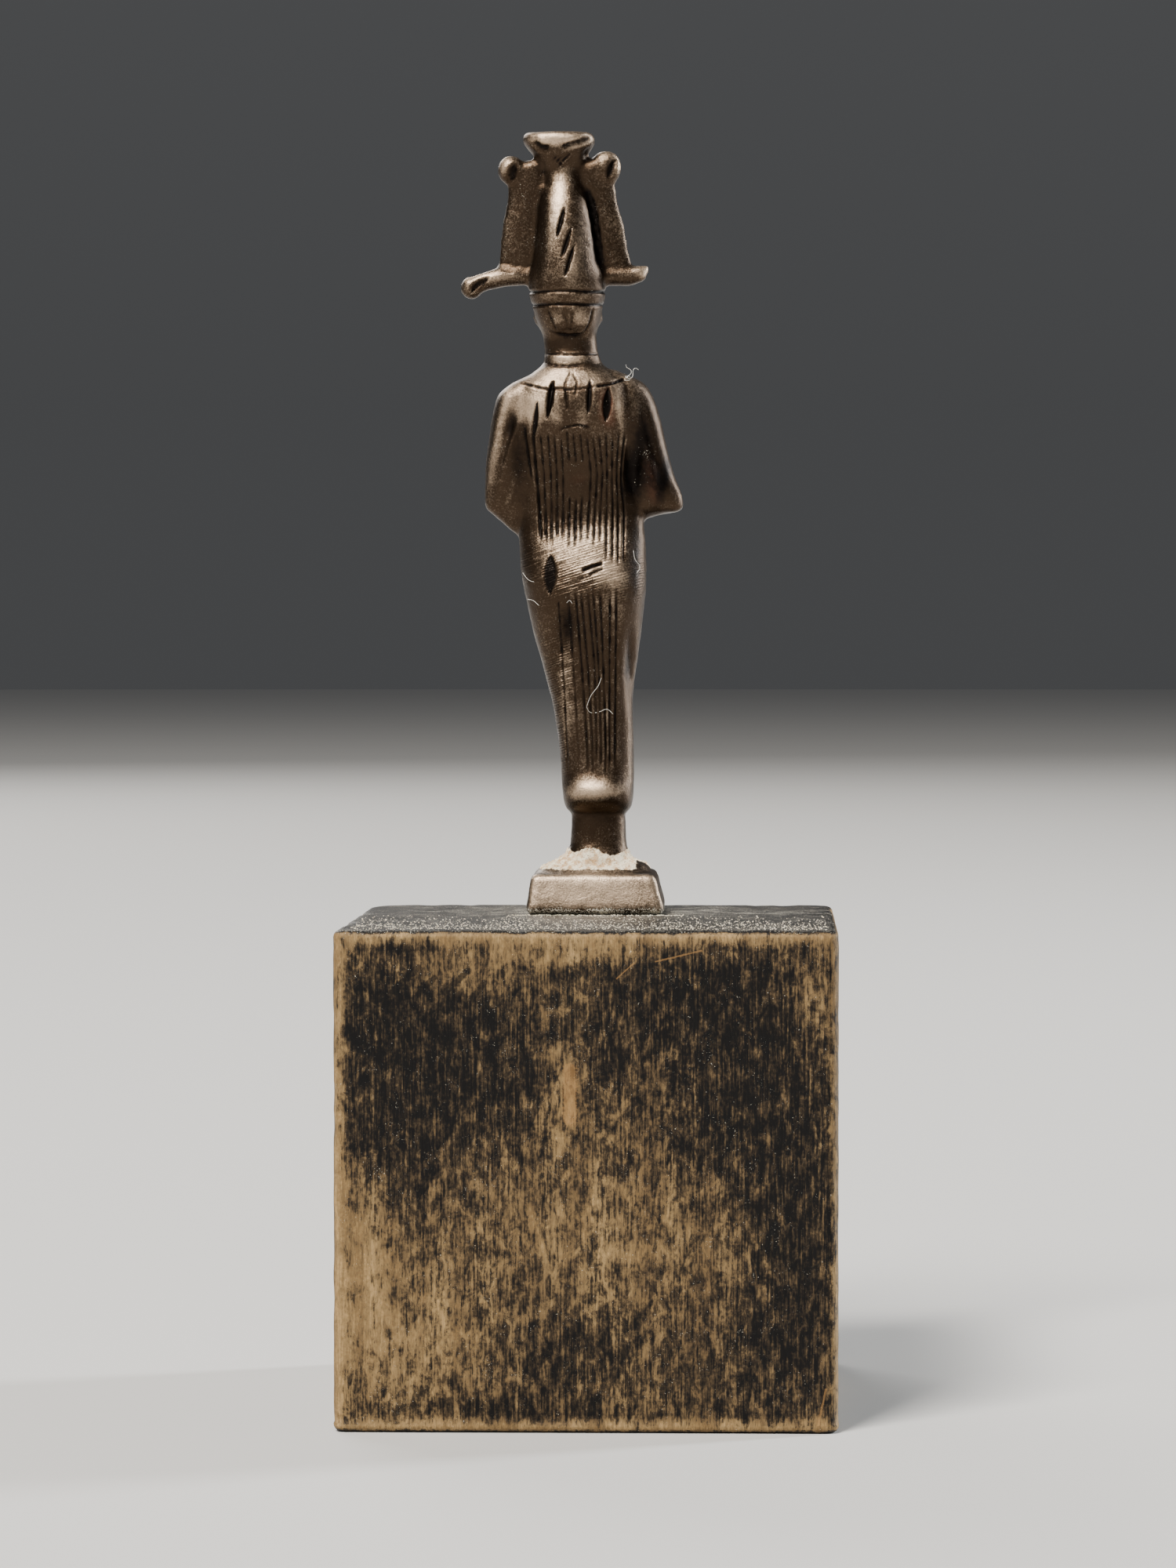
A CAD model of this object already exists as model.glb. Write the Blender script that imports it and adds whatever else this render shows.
import math

import bmesh
import bpy
import numpy as np
from mathutils import Matrix, Vector, noise


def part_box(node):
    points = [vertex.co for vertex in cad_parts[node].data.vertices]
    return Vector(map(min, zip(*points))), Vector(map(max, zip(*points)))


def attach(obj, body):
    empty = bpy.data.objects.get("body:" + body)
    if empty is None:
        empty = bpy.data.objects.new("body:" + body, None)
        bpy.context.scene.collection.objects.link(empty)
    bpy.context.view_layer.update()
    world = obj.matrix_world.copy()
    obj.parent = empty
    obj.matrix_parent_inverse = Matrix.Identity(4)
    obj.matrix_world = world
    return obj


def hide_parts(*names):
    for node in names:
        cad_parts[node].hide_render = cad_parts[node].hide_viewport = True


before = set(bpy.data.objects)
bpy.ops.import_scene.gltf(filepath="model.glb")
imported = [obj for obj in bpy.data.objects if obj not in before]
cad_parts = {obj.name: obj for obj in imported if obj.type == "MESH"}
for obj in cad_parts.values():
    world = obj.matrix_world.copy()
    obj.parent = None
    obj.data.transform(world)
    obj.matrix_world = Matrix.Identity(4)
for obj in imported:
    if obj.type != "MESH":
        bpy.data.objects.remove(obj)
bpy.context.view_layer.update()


# The studio: a wide pale floor under soft light. The main light stands high on the viewer's left,
# a narrow one behind on the right draws the thin bright edge, and a weak one fills the front.
PALE = (0.52, 0.515, 0.505)
FLOOR_RADIUS = 6.0


def put_in_scene(made):
    bpy.context.scene.collection.objects.link(made)


def mesh_of(name, form):
    """The mesh of a finished form, which is freed."""
    mesh = bpy.data.meshes.new(name)
    form.to_mesh(mesh)
    form.free()
    return mesh


def matt_material(name, colour):
    made = bpy.data.materials.new(name)
    made.use_nodes = True
    shader = made.node_tree.nodes["Principled BSDF"]
    shader.inputs["Base Color"].default_value = (*colour, 1)
    shader.inputs["Roughness"].default_value = 0.85
    return made


form = bmesh.new()
bmesh.ops.create_circle(form, cap_ends=True, radius=FLOOR_RADIUS, segments=96)
floor_mesh = mesh_of("floor", form)
floor = bpy.data.objects.new("floor", floor_mesh)
put_in_scene(floor)
floor_mesh.materials.append(matt_material("pale floor", PALE))

world = bpy.data.worlds.new("studio")
world.use_nodes = True
sky = world.node_tree
height = sky.nodes.new("ShaderNodeSeparateXYZ")
sky.links.new(sky.nodes.new("ShaderNodeTexCoord").outputs["Generated"], height.inputs[0])
# Near the horizon the sky is nearly as dark as the far floor, so that the seam is soft
shade = sky.nodes.new("ShaderNodeMapRange")
shade.inputs["From Min"].default_value, shade.inputs["From Max"].default_value = 0.05, 0.6
shade.inputs["To Min"].default_value, shade.inputs["To Max"].default_value = 0.068, 0.124
sky.links.new(height.outputs["Z"], shade.inputs["Value"])
sky.links.new(shade.outputs["Result"], sky.nodes["Background"].inputs["Strength"])
sky.nodes["Background"].inputs["Color"].default_value = (0.95, 0.97, 1.0, 1)
bpy.context.scene.world = world


def soft_light(name, place, aim, width, height, watts, colour):
    lamp = bpy.data.lights.new(name, "AREA")
    lamp.shape = "RECTANGLE"
    lamp.size, lamp.size_y = width, height
    lamp.energy = watts
    lamp.color = colour
    made = bpy.data.objects.new(name, lamp)
    made.location = place
    made.rotation_euler = (Vector(aim) - Vector(place)).to_track_quat("-Z", "Y").to_euler()
    put_in_scene(made)


FIGURE_HEART = (0.0, -0.005, 0.06)
soft_light("main_light", (0.62, 1.02, 1.62), FIGURE_HEART, 0.60, 0.60, 92.0, (1.0, 0.955, 0.89))
soft_light("edge_light", (-0.80, -0.34, 0.34), FIGURE_HEART, 0.12, 0.60, 13.0, (0.95, 0.98, 1.0))
soft_light("front_light", (0.60, -1.20, 0.80), FIGURE_HEART, 0.80, 0.80, 14.0, (1.0, 0.97, 0.93))

camera_data = bpy.data.cameras.new("photo_view")
camera_data.sensor_fit = "VERTICAL"
camera_data.sensor_height = 36.0
camera_data.lens = 111.2
camera_data.clip_start = 0.01
camera = bpy.data.objects.new("photo_view", camera_data)
camera.location = (-0.00747, 0.325, 0.05015)
aim = Vector((0.00003, 0.016, 0.04165))
camera.rotation_euler = (aim - camera.location).to_track_quat("-Z", "Y").to_euler()
put_in_scene(camera)
bpy.context.scene.camera = camera


# The wooden block: an offcut of close-grained hardwood, sawn and sanded by hand, so it is a little
# off square and its arrises waver. One upright corner at the front is worn round. It is stained
# nearly black, rubbed back to bare wood in patches, and carries the figure near the back of its top.
block_low, block_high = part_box("wood_block")
BLOCK_SKEW = 0.0004
BLOCK_CORNER = 0.0040
BLOCK_ARRIS = 0.0008
BLOCK_EASING = 0.0005
BLOCK_GRID = 0.0006
ARRIS_REACH = 0.0016
CHIP_DEPTH = 0.00022
SKIN_INSET = 0.00003
SWELL_BROAD, SWELL_FINE = 0.00002, 0.000012
UNTOUCHED_FOOT = 0.0006


def make_piece(name, mesh):
    made = bpy.data.objects.new(name, mesh)
    put_in_scene(made)
    for face in mesh.polygons:
        face.use_smooth = True
    return made


def points_of(mesh):
    flat = np.empty(len(mesh.vertices) * 3)
    mesh.vertices.foreach_get("co", flat)
    return flat.reshape(-1, 3)


def normals_of(mesh):
    flat = np.empty(len(mesh.vertices) * 3)
    mesh.vertex_normals.foreach_get("vector", flat)
    return flat.reshape(-1, 3)


def round_edges(form, edges, offset, segments):
    bmesh.ops.bevel(
        form, geom=edges, offset=offset, offset_type="OFFSET", segments=segments,
        profile=0.5, affect="EDGES", material=-1,
    )


def add_node(tree, kind, values=None, **settings):
    """A node with its settings; each socket's value is a plain value or another node's output."""
    made = tree.nodes.new(kind)
    for name, value in settings.items():
        setattr(made, name, value)
    for socket, value in (values or {}).items():
        if isinstance(value, bpy.types.NodeSocket):
            tree.links.new(value, made.inputs[socket])
        else:
            made.inputs[socket].default_value = value
    return made


def noise_at(tree, where, scale, detail=4.0, roughness=0.55, distortion=0.0):
    made = add_node(tree, "ShaderNodeTexNoise", {
        "Vector": where, "Scale": scale, "Detail": detail, "Roughness": roughness,
        "Distortion": distortion,
    })
    return made.outputs["Fac"]


def sum_of(tree, *terms):
    """The sum of terms, each a value or a (value, factor) pair."""
    total = 0.0
    for term in terms:
        value, factor = term if isinstance(term, tuple) else (term, 1.0)
        made = add_node(tree, "ShaderNodeMath", {0: value, 1: factor, 2: total}, operation="MULTIPLY_ADD")
        total = made.outputs[0]
    return total


def times(tree, a, b):
    return add_node(tree, "ShaderNodeMath", {0: a, 1: b}, operation="MULTIPLY").outputs[0]


def step_between(tree, value, low, high):
    """0 below low, 1 above high, and a soft step between them."""
    made = add_node(tree, "ShaderNodeMapRange", {
        "Value": value, "From Min": low, "From Max": high,
    }, interpolation_type="SMOOTHSTEP")
    return made.outputs["Result"]


def blend(tree, amount, a, b):
    made = add_node(tree, "ShaderNodeMix", {0: amount, 6: a, 7: b}, data_type="RGBA")
    return made.outputs[2]


def stretched(tree, where, factors):
    made = add_node(tree, "ShaderNodeVectorMath", {0: where, 1: factors}, operation="MULTIPLY")
    return made.outputs[0]


def new_material(name):
    """A material with its tree, its shader and the Object coordinates that its patterns read."""
    made = bpy.data.materials.new(name)
    made.use_nodes = True
    tree = made.node_tree
    where = add_node(tree, "ShaderNodeTexCoord").outputs["Object"]
    return made, tree, tree.nodes["Principled BSDF"], where


def attribute(tree, name):
    return add_node(tree, "ShaderNodeAttribute", attribute_name=name).outputs["Fac"]


def set_attribute(mesh, name, values):
    made = mesh.attributes.new(name, "FLOAT", "POINT")
    made.data.foreach_set("value", np.clip(values, 0, 1).astype(np.float32))


def group_of(name, inputs, outputs):
    """A node group with float and vector sockets, and the nodes for its two ends."""
    group = bpy.data.node_groups.new(name, "ShaderNodeTree")
    for socket, kind in inputs:
        group.interface.new_socket(socket, in_out="INPUT", socket_type=kind)
    for socket, kind in outputs:
        group.interface.new_socket(socket, in_out="OUTPUT", socket_type=kind)
    return group, group.nodes.new("NodeGroupInput"), group.nodes.new("NodeGroupOutput")


# Pale dust that lies in grains and thin drifts, on the wood and on the bronze alike
dust_group, dust_in, dust_out = group_of(
    "pale_dust",
    [("Where", "NodeSocketVector"), ("Amount", "NodeSocketFloat")],
    [("Mask", "NodeSocketFloat")],
)
drift = noise_at(dust_group, dust_in.outputs["Where"], 700.0, 3.0)
grain = noise_at(dust_group, dust_in.outputs["Where"], 11000.0, 2.0, 0.7)
heaped = sum_of(dust_group, (dust_in.outputs["Amount"], 0.62), (drift, 0.40), (grain, 1.30))
dust_group.links.new(step_between(dust_group, heaped, 1.12, 1.24), dust_out.inputs["Mask"])


def dust_mask(tree, where):
    """Where the dust lies, by the piece's dusty attribute."""
    made = add_node(tree, "ShaderNodeGroup", node_tree=dust_group)
    tree.links.new(where, made.inputs["Where"])
    tree.links.new(attribute(tree, "dusty"), made.inputs["Amount"])
    return made.outputs["Mask"]


# A soft straight mark between two points of a face, such as a scratch or a dab of stain
mark_group, mark_in, mark_out = group_of(
    "straight_mark",
    [("Where", "NodeSocketVector"), ("Start", "NodeSocketVector"), ("End", "NodeSocketVector"),
     ("Width", "NodeSocketFloat")],
    [("Mask", "NodeSocketFloat")],
)


def vector_of(tree, operation, a, b):
    made = add_node(tree, "ShaderNodeVectorMath", {0: a, 1: b}, operation=operation)
    return made.outputs["Value" if operation == "DOT_PRODUCT" else "Vector"]


reach = vector_of(mark_group, "SUBTRACT", mark_in.outputs["Where"], mark_in.outputs["Start"])
span = vector_of(mark_group, "SUBTRACT", mark_in.outputs["End"], mark_in.outputs["Start"])
share = add_node(mark_group, "ShaderNodeMath", {
    0: vector_of(mark_group, "DOT_PRODUCT", reach, span),
    1: vector_of(mark_group, "DOT_PRODUCT", span, span),
}, operation="DIVIDE", use_clamp=True).outputs[0]
foot = add_node(mark_group, "ShaderNodeVectorMath", {
    0: span, "Scale": share,
}, operation="SCALE").outputs[0]
away = add_node(mark_group, "ShaderNodeVectorMath", {
    0: reach, 1: foot,
}, operation="DISTANCE").outputs["Value"]
ragged = noise_at(mark_group, mark_in.outputs["Where"], 5000.0, 2.0)
away = times(mark_group, away, sum_of(mark_group, (ragged, 1.6), 0.2))
soft = add_node(mark_group, "ShaderNodeMath", {
    0: away, 1: mark_in.outputs["Width"],
}, operation="DIVIDE").outputs[0]
mark_group.links.new(step_between(mark_group, soft, 0.62, 0.36), mark_out.inputs["Mask"])

form = bmesh.new()
bmesh.ops.create_cube(form, size=1.0)
for corner in form.verts:
    at_front = corner.co.y < 0
    if corner.co.x > 0:
        corner.co.x = block_high[0] - (BLOCK_SKEW if at_front else 0)
    else:
        corner.co.x = block_low[0] + (0 if at_front else BLOCK_SKEW)
    corner.co.y = block_low[1] if at_front else block_high[1]
    corner.co.z = block_high[2] if corner.co.z > 0 else block_low[2]
upright = [e for e in form.edges if abs(e.verts[0].co.z - e.verts[1].co.z) > 0.02]
worn = [e for e in upright if e.verts[0].co.x > 0 and e.verts[0].co.y < 0]
round_edges(form, worn, BLOCK_CORNER, 14)
round_edges(form, [e for e in upright if e.is_valid], BLOCK_ARRIS, 5)
level_edges = [e for e in form.edges if abs(e.verts[0].co.z - e.verts[1].co.z) < 0.001]
round_edges(form, level_edges, BLOCK_EASING, 4)
for axis in range(3):
    normal = [0.0, 0.0, 0.0]
    normal[axis] = 1.0
    span = block_high[axis] - block_low[axis]
    cuts = int(span / BLOCK_GRID)
    for k in range(1, cuts):
        point = [0.0, 0.0, 0.0]
        point[axis] = block_low[axis] + span * k / cuts
        bmesh.ops.bisect_plane(
            form, geom=form.verts[:] + form.edges[:] + form.faces[:], dist=1e-6,
            plane_co=point, plane_no=normal,
        )
bmesh.ops.recalc_face_normals(form, faces=form.faces)
form.normal_update()
middle = (Vector(block_low) + Vector(block_high)) / 2
half = (Vector(block_high) - Vector(block_low)) / 2
for vert in form.verts:
    at = vert.co
    # How near the point is to an edge of the block, from 0 on a face to 1 at an arris
    near = sorted((half[k] - abs(at[k] - middle[k]) for k in range(3)))
    edge = max(0.0, 1 - near[1] / ARRIS_REACH)
    swelling = noise.noise(at * 210) * SWELL_BROAD + noise.noise(at * 900) * SWELL_FINE
    chip = max(0.0, noise.noise(at * 700 + Vector((7, 3, 1))) - 0.05) * CHIP_DEPTH * edge
    if at.z > block_low[2] + UNTOUCHED_FOOT:
        vert.co = at - vert.normal * (SKIN_INSET + chip) + vert.normal * swelling
block_mesh = mesh_of("worn_block", form)
block = make_piece("worn_block", block_mesh)
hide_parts("wood_block")
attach(block, "root")

# Where the stain is whole and where it has rubbed off: middle, reach and strength on the face that
# the photograph shows, in millimetres from its middle to the viewer's right and up from the ground
STAIN_PATCHES = [
    (-12.2, 26.5, 3.4, 4.8, 0.26), (-7.6, 23.0, 3.6, 4.2, 0.21), (-13.0, 20.0, 2.6, 4.0, 0.21),
    (7.2, 28.0, 4.2, 2.6, 0.25), (10.8, 24.5, 3.0, 4.6, 0.25), (7.4, 20.8, 2.0, 3.6, 0.19),
    (12.6, 17.0, 2.2, 5.0, 0.26), (13.6, 10.4, 1.8, 3.4, 0.21), (12.2, 5.4, 2.6, 3.0, 0.19),
    (-1.0, 5.6, 4.0, 2.0, 0.10), (1.6, 26.0, 2.2, 3.2, 0.09), (-2.5, 1.4, 9.0, 0.9, 0.14),
    (-14.4, 11.0, 1.6, 6.6, -0.22), (-10.6, 6.0, 4.6, 5.2, -0.14), (-1.6, 21.0, 0.9, 3.6, -0.16),
    (2.6, 12.5, 6.2, 5.6, -0.10), (-4.6, 13.8, 4.2, 3.4, -0.06), (14.2, 27.4, 1.6, 2.6, -0.12),
    (-2.0, 30.8, 7.5, 0.8, -0.16), (3.0, 1.6, 4.4, 1.0, -0.09), (-12.0, 30.4, 3.6, 0.7, -0.06),
    (-9.6, 29.2, 3.6, 1.1, -0.16), (-12.4, 22.4, 0.9, 1.5, -0.20), (-7.2, 24.4, 0.5, 2.4, -0.12),
]
wood_points, wood_normals = points_of(block_mesh), normals_of(block_mesh)
# On every side the patches lie otherwise, so they are read there from places turned and shifted
side_x = np.where(np.abs(wood_normals[:, 1]) > 0.6, -wood_points[:, 0], wood_points[:, 1])
side_x = np.where(wood_normals[:, 1] < -0.6, -side_x, side_x)
side_z = np.where(wood_normals[:, 1] > 0.6, wood_points[:, 2], block_high[2] - wood_points[:, 2])
COVERED, FULL, ON_TOP = 0.62, 0.70, 0.86
covered = np.full(len(wood_points), COVERED)
for patch_x, patch_z, reach_x, reach_z, strength in STAIN_PATCHES:
    gone = ((side_x * 1000 - patch_x) / reach_x) ** 2 + ((side_z * 1000 - patch_z) / reach_z) ** 2
    covered += strength * np.exp(-gone)
# The arrises are rubbed bare, and the end grain on top has drunk the stain
RUBBED_EDGE = 0.0011
edge_room = np.sort(np.abs(np.abs(wood_points - np.array(middle)) - np.array(half)), axis=1)[:, 1]
covered -= 0.42 * np.clip(1 - edge_room / RUBBED_EDGE, 0, 1)
end_grain = np.clip((np.abs(wood_normals[:, 2]) - 0.55) / 0.3, 0, 1)
covered = np.where(end_grain > 0, covered * (1 - end_grain) + ON_TOP * end_grain, covered)
# Above FULL more stain hardly shows
eased = np.minimum(covered, FULL + 0.25 * (covered - FULL))
set_attribute(block_mesh, "covered", np.where(end_grain > 0, covered, eased))
# Dust lies on top, most of it round the foot of the figure
FOOT_MIDDLE_Y, DUST_REACH = -0.0073, 0.0085
from_foot = np.hypot(wood_points[:, 0], wood_points[:, 1] - FOOT_MIDDLE_Y)
on_top = wood_points[:, 2] > middle[2]
dusty = end_grain * on_top * (0.24 + 0.22 * np.exp(-((from_foot / DUST_REACH) ** 2)))
set_attribute(block_mesh, "dusty", dusty)

TAN, HONEY = (0.215, 0.132, 0.054, 1), (0.43, 0.285, 0.125, 1)
THIN_STAIN, STAIN = (0.055, 0.037, 0.020, 1), (0.0030, 0.0028, 0.0029, 1)
AMBER, DUST = (0.46, 0.25, 0.09, 1), (0.66, 0.62, 0.52, 1)
block_material, tree, shader, where = new_material("stained hardwood")
along_grain = stretched(tree, where, (1.0, 1.0, 0.17))
flecks = noise_at(tree, along_grain, 5200.0, 3.0, 0.6, 0.4)
fibres = noise_at(tree, stretched(tree, where, (1.0, 1.0, 0.035)), 7500.0, 4.0, 0.65)
streaks = noise_at(tree, stretched(tree, where, (1.0, 1.0, 0.10)), 620.0, 3.0, 0.5, 0.3)
blotches = noise_at(tree, stretched(tree, where, (1.0, 1.0, 0.58)), 1250.0, 6.0, 0.72, 0.4)
specks = noise_at(tree, where, 4200.0, 2.0, 0.6)
stained = sum_of(
    tree, attribute(tree, "covered"), (blotches, 1.05), (flecks, 0.52), (fibres, 0.62), (specks, 0.34),
    -1.265,
)
warmth = sum_of(tree, (streaks, 0.6), (specks, 0.4))
wood = blend(tree, step_between(tree, warmth, 0.36, 0.64), TAN, HONEY)
wood = blend(tree, times(tree, step_between(tree, fibres, 0.60, 0.40), 0.45), wood, THIN_STAIN)
colour = blend(tree, step_between(tree, stained, 0.30, 0.66), wood, THIN_STAIN)
colour = blend(tree, step_between(tree, stained, 0.48, 0.80), colour, STAIN)


def face_point(right, up):
    """A point of the face towards the viewer, from millimetres to the right and up."""
    return (-right / 1000, block_high[1], up / 1000)


# Four slanting dabs of stain, then two scratches, a nick and a streak that show bare wood:
# where each starts and ends, how wide and strong it is, and its colour
MARKS = [
    ((-12.5, 28.4), (-10.9, 29.9), 0.00042, 0.72, STAIN),
    ((-10.9, 28.2), (-9.9, 29.2), 0.00042, 0.72, STAIN),
    ((-9.2, 28.3), (-7.7, 29.7), 0.00042, 0.72, STAIN),
    ((-7.7, 27.5), (-6.7, 28.9), 0.00042, 0.72, STAIN),
    ((4.3, 30.3), (7.2, 31.0), 0.00012, 0.28, AMBER), ((1.8, 29.2), (2.9, 30.2), 0.00010, 0.28, AMBER),
    ((14.7, 0.6), (15.2, 2.9), 0.00014, 0.28, AMBER), ((-1.2, 23.4), (-1.2, 20.2), 0.00085, 0.28, AMBER),
]
for start, end, width, strength, tint in MARKS:
    mark = add_node(tree, "ShaderNodeGroup", node_tree=mark_group)
    tree.links.new(where, mark.inputs["Where"])
    mark.inputs["Start"].default_value = face_point(*start)
    mark.inputs["End"].default_value = face_point(*end)
    mark.inputs["Width"].default_value = width
    colour = blend(tree, times(tree, mark.outputs["Mask"], strength), colour, tint)
dust = dust_mask(tree, where)
colour = blend(tree, dust, colour, DUST)
tree.links.new(colour, shader.inputs["Base Color"])
WOOD_ROUGHNESS = 0.50
gloss = sum_of(
    tree, (step_between(tree, stained, 0.4, 0.7), -0.12), (fibres, 0.12), (dust, 0.3), WOOD_ROUGHNESS,
)
tree.links.new(gloss, shader.inputs["Roughness"])
shader.inputs["Specular IOR Level"].default_value = 0.17
relief = sum_of(tree, (flecks, 0.5), (fibres, 0.8), (specks, 0.25), (dust, 0.5))
bump = add_node(tree, "ShaderNodeBump", {"Height": relief, "Strength": 0.55, "Distance": 0.00009})
tree.links.new(bump.outputs["Normal"], shader.inputs["Normal"])
block_mesh.materials.append(block_material)


# The figure: cast solid in bronze in one with its base, from a wax that was shaped by hand, then
# filed and engraved. It is stuck to the block. Its forms are counted in parts, 949 of them from the
# top of its base to the top of its crown.
figure_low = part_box("osiris_figure")[0]
BASE_WIDTH = 0.0095
BASE_DEPTH = 0.0102
BASE_HEIGHT = 0.00245
BASE_BATTER = 0.0004
BASE_SLANT = 0.0003
HEEL_INSET = 0.0033
BASE_SHIFT = -0.00015
FIGURE_OFFSET = 0.00013
PART = 0.0503 / 949
BASE_BACK = -0.0022
FOOT = Vector((FIGURE_OFFSET, BASE_BACK - HEEL_INSET, figure_low[2] + BASE_HEIGHT))
LEAN = [(-60, -6), (0, -6), (120, -5), (260, 5.5), (420, 15), (616, 24), (722, 34), (820, 36), (949, 46)]
SHROUD = [
    (79, 38, 29, 32), (84, 42.5, 35, 37), (94, 45, 42, 41), (106, 45.8, 43, 43),
    (130, 46.8, 37, 44), (165, 48, 35, 44), (220, 52, 36, 44), (260, 59, 39, 45),
    (300, 67.5, 44, 47), (340, 74.5, 51, 49), (376, 79.5, 54, 50), (400, 81, 51, 49),
    (430, 81, 41, 48), (462, 80, 34, 48), (500, 79, 36, 50), (560, 80, 45, 54), (596, 82, 51, 54),
    (624, 77, 46, 49), (636, 62, 39, 43), (644, 50, 34, 37), (651, 40, 30, 32), (658, 33, 25, 28),
]
HEAD_AND_CROWN = [
    (636, 42, 28, 31), (649, 36.5, 28, 30), (653, 37, 30.5, 32), (662, 36, 30, 31), (665, 34, 26.5, 27),
    (686, 34, 26, 25), (692, 35, 30, 34), (702, 38.5, 37, 42), (714, 42, 40, 44), (728, 45.5, 42.5, 46),
    (745, 49, 46, 51), (762, 48.5, 47, 51), (782, 43.5, 46, 48), (820, 38.5, 42, 43),
    (855, 34, 35, 35), (870, 29.5, 29, 29), (886, 25, 23, 24), (900, 24.5, 20, 21), (912, 29.5, 22, 23),
    (922, 36, 26, 27), (931, 43, 31, 31), (939, 46.5, 34, 34), (944, 46, 33, 33), (949, 41, 28, 28),
]
LEFT_PLUME = [
    (768, 60, 121, 9, 10), (778, 50, 123, 10, 11), (800, 45, 121, 11, 12), (830, 45, 118, 11, 12),
    (860, 45, 112, 11, 12), (885, 50, 110, 12, 13), (904, 56, 104, 12, 12), (914, 62, 88, 8, 8),
]
RIGHT_PLUME = [
    (764, -20, 50, 9, 10), (778, -20, 49, 10, 11), (800, -24, 43, 11, 12), (830, -26, 38, 11, 12),
    (860, -30, 30, 11, 12), (880, -32, 27, 12, 13), (904, -30, 26, 13, 13), (916, -28, 14, 10, 10),
]
LEFT_ARM = [
    (431, 82, 94, 0, 24), (439, 76, 105, 6, 34), (449, 70, 117, 11, 44), (459, 65, 129, 15, 51),
    (470, 62, 139.5, 18, 54), (485, 60, 141, 20, 56), (505, 58, 140.5, 23, 56),
    (540, 56, 137.5, 27, 50), (580, 54, 132, 31, 44), (610, 50, 125, 32, 40),
    (626, 44, 109, 30, 37), (636, 40, 90, 26, 32), (644, 38, 72, 19, 24),
]
RIGHT_ARM = [
    (455, 40, 68, 2, 30), (460, 40, 84, 10, 44), (464, 38, 108, 14, 54), (470, 36, 114.5, 17, 57),
    (484, 34, 113, 20, 57), (510, 30, 103, 24, 54), (545, 24, 93.5, 28, 48), (590, 16, 83, 32, 43),
    (612, 10, 75, 31, 39), (628, 5, 64, 28, 34), (638, 0, 46, 23, 29), (646, -4, 26, 17, 22),
]
ANKLES = [
    (-6, 50, 40, 44), (10, 44, 36, 40), (20, 40, 34, 38), (30, 37, 31, 36), (44, 35.5, 29, 33),
    (70, 34.5, 28, 31), (90, 34, 27, 30),
]
VOXEL = 3.41  # the size of the skin's faces, in parts


def smooth(table, at):
    """The values of a table at many levels, on curves through its rows that never overshoot."""
    rows = np.array(table, float)
    levels, values = rows[:, 0], rows[:, 1:]
    gaps = np.diff(levels)[:, None]
    rise = np.diff(values, axis=0) / gaps
    product = rise[:-1] * rise[1:]
    total = np.where(product > 0, rise[:-1] + rise[1:], 1)
    slope = np.vstack([rise[:1], np.where(product > 0, 2 * product / total, 0), rise[-1:]])
    at = np.atleast_1d(np.asarray(at, float))
    i = np.clip(np.searchsorted(levels, at) - 1, 0, len(levels) - 2)
    span = gaps[i]
    t = np.clip((at[:, None] - levels[i][:, None]) / span, 0, 1)
    start = (1 + 2 * t) * (1 - t) ** 2 * values[i] + t * (1 - t) ** 2 * span * slope[i]
    return start + t * t * (3 - 2 * t) * values[i + 1] + t * t * (t - 1) * span * slope[i + 1]


def lean(level):
    return smooth(LEAN, level)[:, 0]


def take_in(whole, form):
    """Adds one closed form to the whole and frees it."""
    bmesh.ops.recalc_face_normals(form, faces=form.faces)
    mesh = mesh_of("form", form)
    whole.from_mesh(mesh)
    bpy.data.meshes.remove(mesh)


def add_column(whole, table, side=0, sides=72, squareness=2.2):
    """A rounded column through level sections, on the figure's middle or, with side, beside it."""
    low, high = table[0][0], table[-1][0]
    form = bmesh.new()
    bmesh.ops.create_cone(form, cap_ends=True, segments=sides, radius1=1, radius2=1, depth=1)
    upright = [e for e in form.edges if abs(e.verts[0].co.z - e.verts[1].co.z) > 0.5]
    cuts = max(2, int((high - low) / 3))
    bmesh.ops.subdivide_edges(form, edges=upright, cuts=cuts, use_grid_fill=True)
    at = np.array([v.co[:] for v in form.verts])
    levels = low + (high - low) * (at[:, 2] + 0.5)
    values = smooth(table, levels)
    if side:
        centre = side * (values[:, 0] + values[:, 1]) / 2
        half_width = (values[:, 1] - values[:, 0]) / 2
    else:
        centre, half_width = lean(levels), values[:, 0]
    across, reach = at[:, 0], at[:, 1]
    depth = np.where(reach > 0, values[:, -2], values[:, -1])
    x = centre + half_width * np.sign(across) * np.abs(across) ** (2 / squareness)
    y = depth * np.sign(reach) * np.abs(reach) ** (2 / squareness)
    for vert, where in zip(form.verts, zip(x, y, levels)):
        vert.co = where
    take_in(whole, form)


def add_ball(whole, centre, radii, turn=(0, 0, 0), segments=28):
    """An ellipsoid, turned by degrees about X, Y and Z."""
    turned = Matrix.Translation(centre)
    for axis, angle in zip("XYZ", turn):
        turned = turned @ Matrix.Rotation(math.radians(angle), 4, axis)
    form = bmesh.new()
    bmesh.ops.create_uvsphere(
        form, u_segments=segments, v_segments=segments * 2 // 3, radius=1,
        matrix=turned @ Matrix.Diagonal((*radii, 1)),
    )
    take_in(whole, form)


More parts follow.
